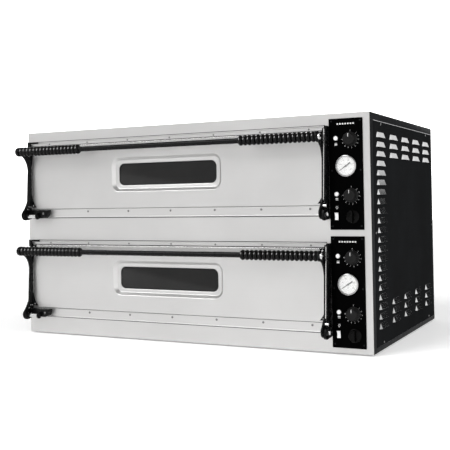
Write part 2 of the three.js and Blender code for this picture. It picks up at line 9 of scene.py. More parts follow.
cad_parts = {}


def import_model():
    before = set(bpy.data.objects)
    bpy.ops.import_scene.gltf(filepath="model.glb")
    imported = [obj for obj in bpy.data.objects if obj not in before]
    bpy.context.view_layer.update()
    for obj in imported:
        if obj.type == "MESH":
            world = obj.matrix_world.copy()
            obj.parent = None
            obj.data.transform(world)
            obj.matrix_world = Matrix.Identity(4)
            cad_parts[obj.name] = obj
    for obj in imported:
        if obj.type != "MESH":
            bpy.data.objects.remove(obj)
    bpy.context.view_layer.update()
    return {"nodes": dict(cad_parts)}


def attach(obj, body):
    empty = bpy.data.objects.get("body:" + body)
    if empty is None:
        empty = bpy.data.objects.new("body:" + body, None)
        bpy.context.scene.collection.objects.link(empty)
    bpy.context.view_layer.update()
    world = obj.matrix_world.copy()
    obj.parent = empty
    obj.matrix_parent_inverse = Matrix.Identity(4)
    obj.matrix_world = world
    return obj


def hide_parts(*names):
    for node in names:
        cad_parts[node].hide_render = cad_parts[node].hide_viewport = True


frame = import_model()
nodes = frame["nodes"]

# ---- Dimensions in millimetres, the same as the CAD ---------------------------------------------
MM = 0.001
FRONT = -369.0  # Y of the fascia's face
HALF_WIDTH = 670.0
DEPTH = 790.0
HEIGHT = 750.0
FOOT_HEIGHT = 5.0
DECKS = {"lower": 0.0, "upper": 366.0}

DOOR_X = -65.0
DOOR_WIDTH = 1170.0
DOOR_Z = (98.5, 331.0)
DOOR_FACE = 5.8
WINDOW_Z = 217.0
WINDOW = (393.0, 77.0, 20.0)  # width, height, corner radius
PRESSING = (443.0, 123.0, 32.0)
PRESSING_DEPTH = 12.0
PRESSING_SLOPE = 12.0
FLANGE_X = (-655.0, 525.0)
OPENING_WIDTH = 1120.0
OPENING_Z = (85.0, 330.0)
FLUE_Z = 235.0
GLAND = (600.0, 60.0)

BAR_REACH = 65.0
BAR_Z = 310.0
ARM_LEFT = (-656.3, -650.3)
ARM_RIGHT = (520.3, 526.3)
PIVOT_REACH = 35.0
PIVOT_Z = 72.0

PANEL_X = (538.0, 648.0)
PANEL_Z = (21.5, 367.5)
PANEL_FACE = 2.3
DIAL_X = 608.0
DIAL_Z = {"top": 302.0, "bottom": 128.0}
GAUGE = (594.0, 219.4)
LAMP_X = 561.0
LAMP_Z = {"top": 306.0, "bottom": 132.4}
MASTER = (612.0, 62.5)
ROCKER = (560.0, 64.0)
INK = 0.15  # thickness of the panel's print

FORWARD = (0, -1, 0)  # out of the oven's front
BACKWARD = (0, 1, 0)
UPWARD = (0, 0, 1)
SIDEWAYS = (1, 0, 0)


def at(x, reach, z):
    """A point reach in front of the fascia, in metres in the shared frame."""
    return Vector((x, FRONT - reach, z)) * MM


# ---- Materials ----------------------------------------------------------------------------------
def colour_ramp(tree, source, stops):
    """Joins source to a ramp of (position, colour) stops, and returns the ramp's colour."""
    ramp = tree.nodes.new("ShaderNodeValToRGB")
    elements = ramp.color_ramp.elements
    while len(elements) < len(stops):
        elements.new(0.5)
    for element, (position, colour) in zip(elements, stops):
        element.position = position
        element.color = (*colour, 1)
    tree.links.new(source, ramp.inputs["Fac"])
    return ramp.outputs["Color"]


class Nodes:
    """A short way to write a material's node tree."""

    def __init__(self, name):
        self.material = bpy.data.materials.new(name)
        self.material.use_nodes = True
        self.tree = self.material.node_tree
        self.shader = self.tree.nodes["Principled BSDF"]
        self.place = self.add("ShaderNodeTexCoord").outputs["Object"]

    def add(self, kind):
        return self.tree.nodes.new(kind)

    def join(self, output, target):
        self.tree.links.new(output, target)

    def set(self, **values):
        for key, value in values.items():
            self.shader.inputs[key.replace("_", " ")].default_value = value

    def noise(self, scale, stretch=(1, 1, 1), detail=4.0, rough=0.55):
        mapping = self.add("ShaderNodeMapping")
        mapping.inputs["Scale"].default_value = stretch
        self.join(self.place, mapping.inputs["Vector"])
        texture = self.add("ShaderNodeTexNoise")
        texture.inputs["Scale"].default_value = scale
        texture.inputs["Detail"].default_value = detail
        texture.inputs["Roughness"].default_value = rough
        self.join(mapping.outputs["Vector"], texture.inputs["Vector"])
        return texture.outputs["Fac"]

    def colour(self, source, *stops):
        """Base colour from (position, colour) stops along source."""
        self.join(colour_ramp(self.tree, source, stops), self.shader.inputs["Base Color"])

    def roughness(self, source, low, high):
        """Roughness from low to high, as source goes through a noise's usual 0.3 to 0.7."""
        remap = self.add("ShaderNodeMapRange")
        for key, value in (("From Min", 0.3), ("From Max", 0.7), ("To Min", low), ("To Max", high)):
            remap.inputs[key].default_value = value
        self.join(source, remap.inputs["Value"])
        self.join(remap.outputs["Result"], self.shader.inputs["Roughness"])

    def bump(self, output, strength, distance):
        node = self.add("ShaderNodeBump")
        node.inputs["Strength"].default_value = strength
        node.inputs["Distance"].default_value = distance
        self.join(output, node.inputs["Height"])
        self.join(node.outputs["Normal"], self.shader.inputs["Normal"])


def grey(value, warm=0.0):
    return (value * (1 + warm), value, value * (1 - warm))


def satin_steel(name, light=0.61, grain=(9, 9, 900), roughness=(0.36, 0.46)):
    """Stainless sheet with a fine brushed grain and faint handling marks."""
    made = Nodes(name)
    made.set(Metallic=1.0)
    lines = made.noise(1.0, grain, detail=3.0)
    clouds = made.noise(3.5, detail=3.0)
    made.colour(clouds, (0.3, grey(light * 0.96, 0.008)), (0.7, grey(light * 1.03, 0.008)))
    made.roughness(lines, *roughness)
    made.bump(lines, 0.10, 0.0002)
    return made.material


def chamber_steel(name):
    """Dull steel that has been hot: straw and blue-brown tints over scale."""
    made = Nodes(name)
    made.set(Metallic=0.9)
    tint = made.noise(4.0, detail=5.0, rough=0.6)
    made.colour(tint, (0.3, (0.20, 0.185, 0.17)), (0.5, (0.27, 0.235, 0.19)), (0.7, (0.235, 0.23, 0.235)))
    made.roughness(made.noise(60.0), 0.38, 0.6)
    made.bump(made.noise(300.0), 0.08, 0.0003)
    return made.material


def black_paint(
    name, shade, roughness=(0.26, 0.34), texture=1400.0, strength=0.06, gloss=0.5, index=1.5
):
    """Powder coat: a fine orange peel and a slightly uneven tone."""
    made = Nodes(name)
    made.set(IOR=index)
    clouds = made.noise(6.0, detail=3.0)
    made.colour(clouds, (0.35, grey(shade * 0.9, -0.04)), (0.7, grey(shade * 1.15, -0.06)))
    made.roughness(made.noise(40.0), *roughness)
    made.bump(made.noise(texture, detail=2.0), strength, 0.0002)
    made.set(Specular_IOR_Level=gloss)
    return made.material


def plastic(name, shade, roughness=(0.3, 0.4), texture=2200.0, strength=0.08, gloss=0.5, glow=0.0):
    """Moulded plastic with a fine spark-eroded surface."""
    made = Nodes(name)
    made.colour(made.noise(25.0), (0.3, grey(shade * 0.95)), (0.7, grey(shade * 1.05)))
    made.roughness(made.noise(90.0), *roughness)
    made.bump(made.noise(texture, detail=2.0), strength, 0.0002)
    made.set(Specular_IOR_Level=gloss, Emission_Color=(1, 1, 1, 1), Emission_Strength=glow)
    return made.material


def printed(name, colour):
    """Screen-printed ink: flat colour broken up by slight wear."""
    made = Nodes(name)
    worn = tuple(c * 0.9 for c in colour)
    made.colour(made.noise(120.0), (0.3, worn), (0.6, colour))
    made.roughness(made.noise(300.0), 0.4, 0.55)
    return made.material


def smoked_glass(name):
    made = Nodes(name)
    made.colour(made.noise(5.0), (0.3, grey(0.010)), (0.7, grey(0.015, 0.02)))
    made.roughness(made.noise(14.0), 0.10, 0.16)
    made.set(Specular_IOR_Level=0.25)
    made.bump(made.noise(6.0, detail=1.0), 0.05, 0.0006)
    return made.material


def clear_glass(name):
    made = Nodes(name)
    made.set(Alpha=0.08, IOR=1.45)
    made.colour(made.noise(8.0), (0.3, (0.97, 0.98, 0.98)), (0.7, (1, 1, 1)))
    made.roughness(made.noise(20.0), 0.0, 0.02)
    return made.material


def chrome(name, light):
    made = Nodes(name)
    made.set(Metallic=1.0)
    made.colour(made.noise(20.0), (0.3, grey(light)), (0.7, grey(light * 1.1)))
    made.roughness(made.noise(60.0), 0.10, 0.18)
    return made.material


def firebrick(name):
    """Pressed cordierite: sandy, pitted, browned in patches."""
    made = Nodes(name)
    speckle = made.noise(420.0, detail=6.0, rough=0.7)
    made.colour(speckle, (0.3, (0.40, 0.31, 0.21)), (0.5, (0.58, 0.48, 0.35)), (0.75, (0.68, 0.60, 0.47)))
    made.roughness(speckle, 0.85, 0.98)
    made.bump(made.noise(260.0, detail=8.0, rough=0.7), 0.45, 0.0006)
    return made.material


def element_metal(name):
    made = Nodes(name)
    made.set(Metallic=0.6)
    scale = made.noise(90.0, detail=5.0)
    made.colour(scale, (0.3, (0.05, 0.045, 0.04)), (0.7, (0.11, 0.095, 0.085)))
    made.roughness(made.noise(200.0), 0.5, 0.75)
    made.bump(made.noise(700.0), 0.2, 0.0003)
    return made.material


def mineral_wool(name):
    made = Nodes(name)
    fibres = made.noise(160.0, (1, 6, 1), detail=8.0, rough=0.75)
    made.colour(fibres, (0.3, (0.24, 0.19, 0.08)), (0.7, (0.55, 0.46, 0.22)))
    made.roughness(fibres, 0.9, 1.0)
    made.bump(fibres, 0.8, 0.002)
    return made.material


def studio_white(name, glow):
    """A pale matt surface that glows a little, so that shadows on it stay soft."""
    made = Nodes(name)
    made.colour(made.noise(1.3, detail=2.0), (0.3, grey(0.88)), (0.7, grey(0.90)))
    made.roughness(made.noise(8.0), 0.75, 0.85)
    made.set(Emission_Color=(1, 1, 1, 1), Emission_Strength=glow)
    return made.material


MATERIALS = {
    "stainless": satin_steel("satin stainless"),
    "edge_steel": satin_steel("folded stainless edge", 0.70, (40, 40, 40), (0.2, 0.28)),
    "chamber_steel": chamber_steel("heat-tinted steel"),
    "black_paint": black_paint("black powder coat", 0.014, (0.40, 0.50), gloss=0.015),
    "cover_paint": black_paint(
        "cover powder coat", 0.0105, (0.40, 0.50), 1100.0, 0.02, gloss=0.01, index=1.05
    ),
    # The louvre paint is a lighter, glossier copy of the cover paint, a painted sheen for the sloping
    # faces.
    "louvre_sheen_paint": black_paint(
        "louvre paint with painted sheen", 0.017, (0.07, 0.10), 900.0, 0.02, gloss=1.0, index=2.0
    ),
    "black_gloss": black_paint("panel gloss black", 0.0008, (0.2, 0.26), 700.0, 0.015, gloss=0.008),
    "handle_tube": black_paint("handle black", 0.003, (0.24, 0.30), 1200.0, 0.04, gloss=0.12),
    "black_plastic": plastic("black plastic", 0.008, (0.28, 0.36), gloss=0.12),
    "grip_plastic": plastic("grip plastic", 0.001, (0.12, 0.18), 900.0, 0.02, gloss=0.14),
    "switch_plastic": plastic("switch plastic", 0.0012, (0.16, 0.22), 900.0, 0.03, gloss=0.08),
    "white_plastic": plastic("white plastic", 0.85, (0.2, 0.28)),
    "white_lens": plastic("white lens", 0.88, (0.12, 0.2), glow=0.10),
    "gauge_steel": chrome("polished bezel", 0.38),
    "screw_steel": chrome("zinc screw", 0.58),
    "strip_screw_steel": satin_steel("dull zinc screw", 0.22, (50, 50, 50), (0.35, 0.5)),
    "firebrick": firebrick("refractory hearth"),
    "element_metal": element_metal("element sheath"),
    "door_glass": smoked_glass("smoked door glass"),
    "clear_glass": clear_glass("gauge glass"),
    "mineral_wool": mineral_wool("mineral wool"),
    "rubber": plastic("rubber", 0.015, (0.6, 0.75), 500.0, 0.2, gloss=0.2),
    "white_print": printed("white print", (0.66, 0.66, 0.66)),
    "black_print": printed("black print", (0.012, 0.012, 0.012)),
    "dial_white": printed("dial white", (0.80, 0.80, 0.79)),
}


# ---- Mesh helpers -------------------------------------------------------------------------------
def linked(name, data):
    """A new object in the scene."""
    made = bpy.data.objects.new(name, data)
    bpy.context.scene.collection.objects.link(made)
    return made


class Build:
    """Collects vertices and faces, then becomes one Blender object."""

    def __init__(self):
        self.points = []
        self.faces = []

    def add(self, points, faces):
        start = len(self.points)
        self.points += [Vector(p) for p in points]
        self.faces += [tuple(start + i for i in face) for face in faces]

    def loft(self, loops, caps=True):
        """Skins a list of loops with the same number of points each."""
        start = len(self.points)
        count = len(loops[0])
        for loop in loops:
            self.points += [Vector(p) for p in loop]
        for row in range(len(loops) - 1):
            a, b = start + row * count, start + (row + 1) * count
            for i in range(count):
                j = (i + 1) % count
                self.faces.append((a + i, a + j, b + j, b + i))
        if caps:
            self.faces.append(tuple(start + i for i in reversed(range(count))))
            self.faces.append(tuple(start + (len(loops) - 1) * count + i for i in range(count)))

    def plate(self, outer, holes, reach0, reach1):
        """A flat plate on the front plane from 2-D loops (x, z), with holes right through it."""
        rings = [outer, *holes]
        flat = [Vector((x, z, 0)) for ring in rings for x, z in ring]
        triangles = tessellate_polygon([[Vector((x, z, 0)) for x, z in ring] for ring in rings])
        start = len(self.points)
        for reach in (reach0, reach1):
            self.points += [at(p.x, reach, p.y) for p in flat]
        size = len(flat)
        for a, b, c in triangles:
            self.faces.append((start + a, start + b, start + c))
            self.faces.append((start + size + c, start + size + b, start + size + a))
        offset = start
        for ring in rings:
            for i in range(len(ring)):
                j = (i + 1) % len(ring)
                self.faces.append((offset + i, offset + j, offset + size + j, offset + size + i))
            offset += len(ring)

    def lathe(self, centre, axis, profile, sides=32, wobble=None, caps=True):
        """Turns (radius, height) pairs about axis. wobble(angle, radius) gives a changed radius."""
        centre, axis = Vector(centre), Vector(axis).normalized()
        u = axis.orthogonal().normalized()
        v = axis.cross(u)
        loops = []
        for radius, height in profile:
            loop = []
            for i in range(sides):
                angle = 2 * math.pi * i / sides
                r = wobble(angle, radius) if wobble else radius
                loop.append(centre + (axis * height + (u * math.cos(angle) + v * math.sin(angle)) * r) * MM)
            loops.append(loop)
        self.loft(loops, caps=caps)

    def stand(self, x, z, profile, sides, wobble=None):
        """A turned piece that stands on the control panel and faces forward."""
        self.lathe(at(x, PANEL_FACE, z), FORWARD, profile, sides, wobble)

    def object(self, name, material, body, replaces=(), slot=None, bevel=0.0, smooth=35.0):
        mesh = bpy.data.meshes.new(name)
        work = bmesh.new()
        verts = [work.verts.new(p) for p in self.points]
        for face in self.faces:
            if len(set(face)) > 2:
                try:
                    work.faces.new([verts[i] for i in face])
                except ValueError:
                    continue
        bmesh.ops.remove_doubles(work, verts=work.verts, dist=1e-6)
        bmesh.ops.dissolve_degenerate(work, edges=work.edges, dist=1e-7)
        bmesh.ops.recalc_face_normals(work, faces=work.faces)
        work.to_mesh(mesh)
        work.free()
        made = linked(name, mesh)
        mesh.materials.append(MATERIALS[material])
        finish_edges(made, bevel, smooth)
        if replaces:
            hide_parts(*replaces)
        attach(made, body)
        return made


def bevel_edges(made, width, angle):
    """Rounds the edges that turn by more than angle, in degrees."""
    modifier = made.modifiers.new("rounded edges", "BEVEL")
    modifier.width = width * MM
    modifier.segments = 2
    modifier.limit_method = "ANGLE"
    modifier.angle_limit = math.radians(angle)
    return modifier


def finish_edges(made, bevel, smooth=35.0):
    """Rounds the piece's corners and shades its curved faces smoothly."""
    for polygon in made.data.polygons:
        polygon.use_smooth = True
    made.data.set_sharp_from_angle(angle=math.radians(smooth))
    if bevel:
        bevel_edges(made, bevel, smooth).harden_normals = True


def rounded(cx, cz, width, height, radius, steps=8):
    """A rounded rectangle as 4 * (steps + 1) points, anticlockwise from the lower right corner."""
    points = []
    for quarter, (sx, sz) in enumerate(((1, -1), (1, 1), (-1, 1), (-1, -1))):
        x = cx + sx * (width / 2 - radius)
        z = cz + sz * (height / 2 - radius)
        for i in range(steps + 1):
            angle = math.radians(-90 + 90 * quarter + 90 * i / steps)
            points.append((x + radius * math.cos(angle), z + radius * math.sin(angle)))
    return points


def rectangle(x0, x1, z0, z1):
    return [(x0, z0), (x1, z0), (x1, z1), (x0, z1)]


def circle(cx, cz, radius, sides=24):
    turns = [2 * math.pi * i / sides for i in range(sides)]
    return [(cx + radius * math.cos(turn), cz + radius * math.sin(turn)) for turn in turns]


def lifted(loop, reach):
    """A front-plane loop as points reach in front of the fascia."""
    return [at(x, reach, z) for x, z in loop]


def domed_screw(build, centre, axis, radius=4.0, height=1.8):
    """A pan-head screw with a dimple in its head."""
    build.lathe(
        centre,
        axis,
        [(radius, 0), (radius, height * 0.45), (radius * 0.8, height * 0.85), (radius * 0.45, height),
         (radius * 0.40, height * 0.55), (0.02, height * 0.5)],
        sides=16,
    )


# ---- Body ---------------------------------------------------------------------------------------
def control_hole_loops(base):
    """Holes behind one deck's controls, as front-plane loops."""
    shaft = 3.6
    lamp = 5.5
    holes = [circle(DIAL_X, base + z, shaft) for z in DIAL_Z.values()]
    holes += [circle(LAMP_X, base + z, lamp) for z in LAMP_Z.values()]
    holes.append(circle(MASTER[0], base + MASTER[1], shaft))
    holes.append(circle(GAUGE[0], base + GAUGE[1], shaft))
    x, z = ROCKER[0], base + ROCKER[1]
    holes.append(rectangle(x - 6.1, x + 6.1, z - 12.5, z + 12.5))
    return holes


def fascia():
    """One stainless sheet across both decks, with its openings."""
    build = Build()
    half = OPENING_WIDTH / 2
    holes = []
    for base in DECKS.values():
        holes.append(rectangle(DOOR_X - half, DOOR_X + half, base + OPENING_Z[0], base + OPENING_Z[1]))
        holes += control_hole_loops(base)
    build.plate(rectangle(-HALF_WIDTH, HALF_WIDTH, FOOT_HEIGHT, HEIGHT), holes, -2, 0)
    build.object("stainless_front", "stainless", "body", ["front_fascia"], "stainless", bevel=0.7)


LOUVRE_LENGTH = 92.0
LOUVRE_HEIGHT = 17.0
LOUVRE_RISE = 6.2
LOUVRE_SLOPE = 12.0
LOUVRE_ROWS = 21
LOUVRE_COLUMNS = 5
LOUVRE_END_ROWS = 3  # rows in every column, at its top and at its bottom
LOUVRE_FIRST = (59.0, 75.0)  # behind the fascia, above the counter
LOUVRE_PITCH = (145.0, 30.0)
COVER_FACE = 1.5  # the cover's face stands this far outside its rim
CHAMFER = 1.9
COVER_Y = (33.0, 773.0)  # behind the fascia
COVER_Z = (20.0, 727.5)
SIDES = {"right": 1, "left": -1}


def louvre_places():
    """The lower front corner of each louvre. Only the front column is filled from end to end."""
    for column in range(LOUVRE_COLUMNS):
        for row in range(LOUVRE_ROWS):
            from_end = min(row, LOUVRE_ROWS - 1 - row)
            if column == 0 or from_end < LOUVRE_END_ROWS:
                yield LOUVRE_FIRST[0] + column * LOUVRE_PITCH[0], LOUVRE_FIRST[1] + row * LOUVRE_PITCH[1]


def side_point(side, out, back, z):
    """A point on the side cover: out from the body's side, back from the fascia."""
    return Vector((side * (HALF_WIDTH + 0.3 + out), FRONT + back, z)) * MM


def cover_sheet(side):
    """The flat cover with a slot for each louvre, built as a grid with the slots' cells left out."""
    slots = [(y, y + LOUVRE_LENGTH, z, z + LOUVRE_HEIGHT) for y, z in louvre_places()]
    inner_y = (COVER_Y[0] + CHAMFER, COVER_Y[1] - CHAMFER)
    inner_z = (COVER_Z[0] + CHAMFER, COVER_Z[1] - CHAMFER)
    ys = sorted({*inner_y, *(s[0] for s in slots), *(s[1] for s in slots)})
    zs = sorted({*inner_z, *(s[2] for s in slots), *(s[3] for s in slots)})
    open_cells = {(s[0], s[2]) for s in slots}
    build = Build()
    corners = [(y, z) for y in ys for z in zs]
    index = {corner: i for i, corner in enumerate(corners)}
    points = [side_point(side, COVER_FACE, y, z) for y, z in corners]
    faces = []
    for y0, y1 in zip(ys, ys[1:]):
        for z0, z1 in zip(zs, zs[1:]):
            if (y0, z0) not in open_cells:
                faces.append((index[y0, z0], index[y1, z0], index[y1, z1], index[y0, z1]))
    build.add(points, faces)
    outer = [side_point(side, 0.1, y, z) for y, z in rectangle(*COVER_Y, *COVER_Z)]
    inner = [side_point(side, COVER_FACE, y, z) for y, z in rectangle(*inner_y, *inner_z)]
    build.loft([outer, inner], caps=False)
    return build


def louvre_hood(build, side, front, bottom):
    """A pressed hood of three flat faces, proud along its open lower edge, run out at its top."""
    back = front + LOUVRE_LENGTH
    top = bottom + LOUVRE_HEIGHT
    places = [
        (0, front, bottom),
        (LOUVRE_RISE, front + LOUVRE_SLOPE, bottom),
        (LOUVRE_RISE, back - LOUVRE_SLOPE, bottom),
        (0, back, bottom),
        (0, back - LOUVRE_SLOPE, top),
        (0, front + LOUVRE_SLOPE, top),
        (0, front, top),
        (0, back, top),
    ]
    points = [side_point(side, COVER_FACE + out, y, z) for out, y, z in places]
    build.add(points, [(0, 1, 5), (1, 2, 4, 5), (2, 3, 4), (0, 5, 6), (3, 7, 4)])


def side_cover(word, side):
    build = cover_sheet(side)
    for front, bottom in louvre_places():
        louvre_hood(build, side, front, bottom)
    replaced = [f"side_cover_{word}"]
    made = build.object(f"louvred_cover_{word}", "cover_paint", "body", replaced, "black_paint", smooth=12)
    # The faces that slope up or down, the hoods and the long rims, take a lighter, glossier copy of the
    # cover paint: a painted sheen that makes them catch the light.
    made.data.materials.append(MATERIALS["louvre_sheen_paint"])
    for polygon in made.data.polygons:
        sloping = abs(polygon.normal.x) < 0.99 and abs(polygon.normal.z) > 0.1
        polygon.material_index = 1 if sloping else 0
        polygon.use_smooth = False
    thick = made.modifiers.new("sheet", "SOLIDIFY")
    thick.thickness = 1.2 * MM
    thick.offset = -1.0 if made.data.polygons[0].normal.x * side > 0 else 1.0
    bevel_edges(made, 0.35, 60)


def cover_screws(word, side):
    build = Build()
    for back, z in ((109.5, 718), (690, 718.5), (103, 29), (691, 29.5)):
        domed_screw(build, side_point(side, COVER_FACE, back, z), (side, 0, 0), 3.6, 1.8)
    for back in (40.5, 765.5):
        domed_screw(build, side_point(side, COVER_FACE, back, 376), (side, 0, 0), 3.4, 1.6)
    build.object(f"cover_screws_{word}", "strip_screw_steel", "body")


SHEET_SCREW_XS = (-640, -320, 0, 320, 640)


def top_details():
    """A stiffening rib down each side of the top sheet, and its screws."""
    build = Build()
    for x in (-560, 560):
        loops = []
        for grow, lift in ((0, -0.5), (0, 0.0), (-3, 1.2), (-9, 1.8)):
            ring = rounded(x, FRONT + DEPTH / 2, 26 + grow, 640 + grow, 13 + grow / 2, 6)
            loops.append([Vector((px, py, HEIGHT + lift)) * MM for px, py in ring])
        build.loft(loops)
    build.object("top_ribs", "black_paint", "body", smooth=60)
    screws = Build()
    for x in SHEET_SCREW_XS:
        for back in (18, DEPTH - 18):
            domed_screw(screws, Vector((x, FRONT + back, HEIGHT)) * MM, UPWARD, 4, 1.8)
    screws.object("top_screws", "screw_steel", "body")


def back_details():
    """Screws round the back sheet, a collar on each flue and the cable gland's nut."""
    y = FRONT + DEPTH
    screws = Build()
    places = [(x, z) for x in SHEET_SCREW_XS for z in (22, HEIGHT - 22)]
    places += [(x, z) for x in (-640, 640) for z in (260, 500)]
    for x, z in places:
        domed_screw(screws, Vector((x, y, z)) * MM, BACKWARD, 4, 1.8)
    screws.object("back_screws", "screw_steel", "body")
    for deck, base in DECKS.items():
        collar = Build()
        collar.lathe(
            Vector((DOOR_X, y, base + FLUE_Z)) * MM,
            BACKWARD,
            [(25, 0), (44, 0), (44, 1.2), (43, 2), (27, 2), (26, 5), (24.6, 5), (24.6, 0)],
            sides=48,
        )
        collar.object(f"{deck}_flue_collar", "edge_steel", "body")
    nut = Build()
    corner = 18.9 / math.cos(math.pi / 6)
    hexagon = [(15.4, 0), (corner, 0), (18.9, 6.5), (17.5, 7), (15.4, 7)]
    nut.lathe(Vector((GLAND[0], y, GLAND[1])) * MM, BACKWARD, hexagon, sides=6)
    nut.object("cable_gland_nut", "black_plastic", "body")


# ---- Chamber front ------------------------------------------------------------------------------
SCREW_XS = [-566, -393.5, -218, -44, 128.7, 300.9, 472]


def cross_strip(build, xs, base, profile):
    """A strip along X with the given (reach, height) section."""
    build.loft([[at(x, p, base + z) for p, z in profile] for x in xs])


def front_strips(deck, base):
    """The stainless strips above and below the door, with their screws, folded lips and thin black strips
    along their edges that paint in shadow lines.
    """
    sill = Build()
    folded = [(2.4, 66), (5.2, 66), (5.2, 68.2), (3.9, 69.4), (3.9, 95.6), (2.4, 96.2)]
    cross_strip(sill, FLANGE_X, base, folded)
    sill.object(f"{deck}_sill_strip", "stainless", "body", slot="stainless", bevel=0.35)
    header = Build()
    folded = [(2.4, 333.4), (3.6, 333.4), (3.6, 343.4), (5.8, 344.6), (5.8, 347.2), (2.4, 347.2)]
    cross_strip(header, FLANGE_X, base, folded)
    header.object(f"{deck}_header_strip", "stainless", "body", slot="stainless", bevel=0.35)
    # Black strips laid along the strips' edges and under the door are painted shadow lines.
    shade_lines = Build()
    on_flange, on_front = (2.35, 3.0), (0.1, 1.0)  # from and to, in front of the fascia
    for reaches, heights in (
        (on_flange, (97.0, 98.0)),
        (on_flange, (329.0, 335.0)),
        (on_front, (63.4, 66.4)),
        (on_front, (346.8, 349.4)),
    ):
        cross_strip(shade_lines, FLANGE_X, base, rectangle(*reaches, *heights))
    shade_lines.object(f"{deck}_painted_shade_lines", "rubber", "body")
    screws = Build()
    for x in SCREW_XS:
        domed_screw(screws, at(x, 3.9, base + 87.5), FORWARD, 3.9, 1.5)
        domed_screw(screws, at(x, 3.6, base + 338.5), FORWARD, 3.2, 1.2)
    screws.object(f"{deck}_strip_screws", "strip_screw_steel", "body")


# ---- Door ---------------------------------------------------------------------------------------
def door(deck, base):
    body = f"{deck}_door"
    x0, x1 = DOOR_X - DOOR_WIDTH / 2, DOOR_X + DOOR_WIDTH / 2
    centre_z = base + WINDOW_Z
    outer = rectangle(x0, x1, base + DOOR_Z[0], base + DOOR_Z[1])
    sight = rounded(DOOR_X, centre_z, *WINDOW)

    def ring(inset):
        """The pressing's outline, moved inwards."""
        width, height, radius = PRESSING
        return rounded(DOOR_X, centre_z, width - 2 * inset, height - 2 * inset, radius - inset)

    def round_window(grow):
        """The window's outline, made wider and higher by grow."""
        width, height, radius = WINDOW
        return rounded(DOOR_X, centre_z, width + grow, height + grow, radius + grow / 2)

    skin = Build()
    skin.plate(outer, [ring(0)], DOOR_FACE - 2, DOOR_FACE)
    floor = DOOR_FACE - PRESSING_DEPTH
    slope = PRESSING_SLOPE
    section = [
        (ring(0), DOOR_FACE - 1.0),
        (ring(0), DOOR_FACE),
        (ring(0.8), DOOR_FACE - 0.25),
        (ring(1.8), DOOR_FACE - 1.2),
        (ring(slope - 2.2), floor + 1.4),
        (ring(slope - 1.2), floor + 0.4),
        (ring(slope + 0.3), floor),
        (round_window(5), floor),
        (round_window(2), floor - 0.4),
        (sight, floor - 1.5),
        (sight, floor - 1.9),
        (ring(slope + 2), floor - 1.9),
        (ring(-0.5), DOOR_FACE - 3.2),
        (ring(-0.5), DOOR_FACE - 1.9),
        (ring(0), DOOR_FACE - 1.0),
    ]
    skin.loft([lifted(loop, reach) for loop, reach in section], caps=False)
    skin.object(f"{deck}_door_face", "stainless", body, [f"{deck}_door_skin"], "stainless", bevel=0.6)

    seal = Build()
    section = ((0.4, 1.0), (1.2, 0.3), (3.4, 0.3), (4.6, 1.2), (4.6, 2.1), (0.4, 2.1), (0.4, 1.0))
    seal.loft([lifted(round_window(-inset), floor - depth) for inset, depth in section], caps=False)
    seal.object(f"{deck}_window_seal", "rubber", body)

    screws = Build()
    for z in (110, 322):
        for x in (ARM_LEFT[1] + 8, ARM_RIGHT[0] - 8):
            domed_screw(screws, at(x, 9.1, base + z), FORWARD, 3.0, 1.6)
    for x, out in ((ARM_LEFT[1], 1), (ARM_RIGHT[1], 1)):
        for reach, z in ((13, 106), (24, 107), (21, 93), (31, 97)):
            domed_screw(screws, at(x, reach, base + z), (out, 0, 0), 2.4, 1.2)
    screws.object(f"{deck}_arm_screws", "screw_steel", body)

    # A narrow folded return runs along the door's upper edge.
    lip = Build()
    profile = [(5.8, 326.5), (7.4, 327.0), (7.4, 330.2), (6.6, 331.0), (5.8, 331.0)]
    cross_strip(lip, (x0 + 14, x1 - 14), base, profile)
    lip.object(f"{deck}_door_lip", "edge_steel", body, bevel=0.25)


def corner_angle(deck, base):
    """The small black angle over the door's upper left corner."""
    build = Build()
    build.plate(rectangle(-667, -657, base + 325, base + 349), [], 0.3, 8.4)
    build.plate(rectangle(-658, -617, base + 342.4, base + 349), [], 6.0, 8.4)
    build.object(f"{deck}_corner_angle", "handle_tube", "body", bevel=0.5)


# ---- Handle -------------------------------------------------------------------------------------
GRIP_ROOT = 10.6
GRIP_TOP = 16.9
GRIP_RINGS = 17
GRIP_SEAM = 9  # the groove after this ring is where the grip's two halves meet
GRIPS = bpy.data.collections.new("grips")  # lit by a soft light of their own


def ringed_grip(name, x0, x1, base, body, replaced):
    """A moulded grip: a row of rounded rings along the bar."""
    steps_per_ring = 10
    pitch = (x1 - x0) / GRIP_RINGS
    profile = [(9.4, x0), (GRIP_ROOT, x0)]
    for ring in range(GRIP_RINGS):
        for step in range(1, steps_per_ring):
            along = step / steps_per_ring
            swell = math.sin(math.pi * along) ** 0.8
            profile.append((GRIP_ROOT + (GRIP_TOP - GRIP_ROOT) * swell, x0 + pitch * (ring + along)))
        root = 9.8 if ring + 1 == GRIP_SEAM else GRIP_ROOT
        profile.append((root, x0 + pitch * (ring + 1)))
    profile += [(9.4, x1), (9.4, x0)]
    build = Build()
    build.lathe(at(0, BAR_REACH, base + BAR_Z), SIDEWAYS, profile, sides=40, caps=False)
    made = build.object(name, "grip_plastic", body, replaced, "grip_plastic", smooth=50)
    GRIPS.objects.link(made)


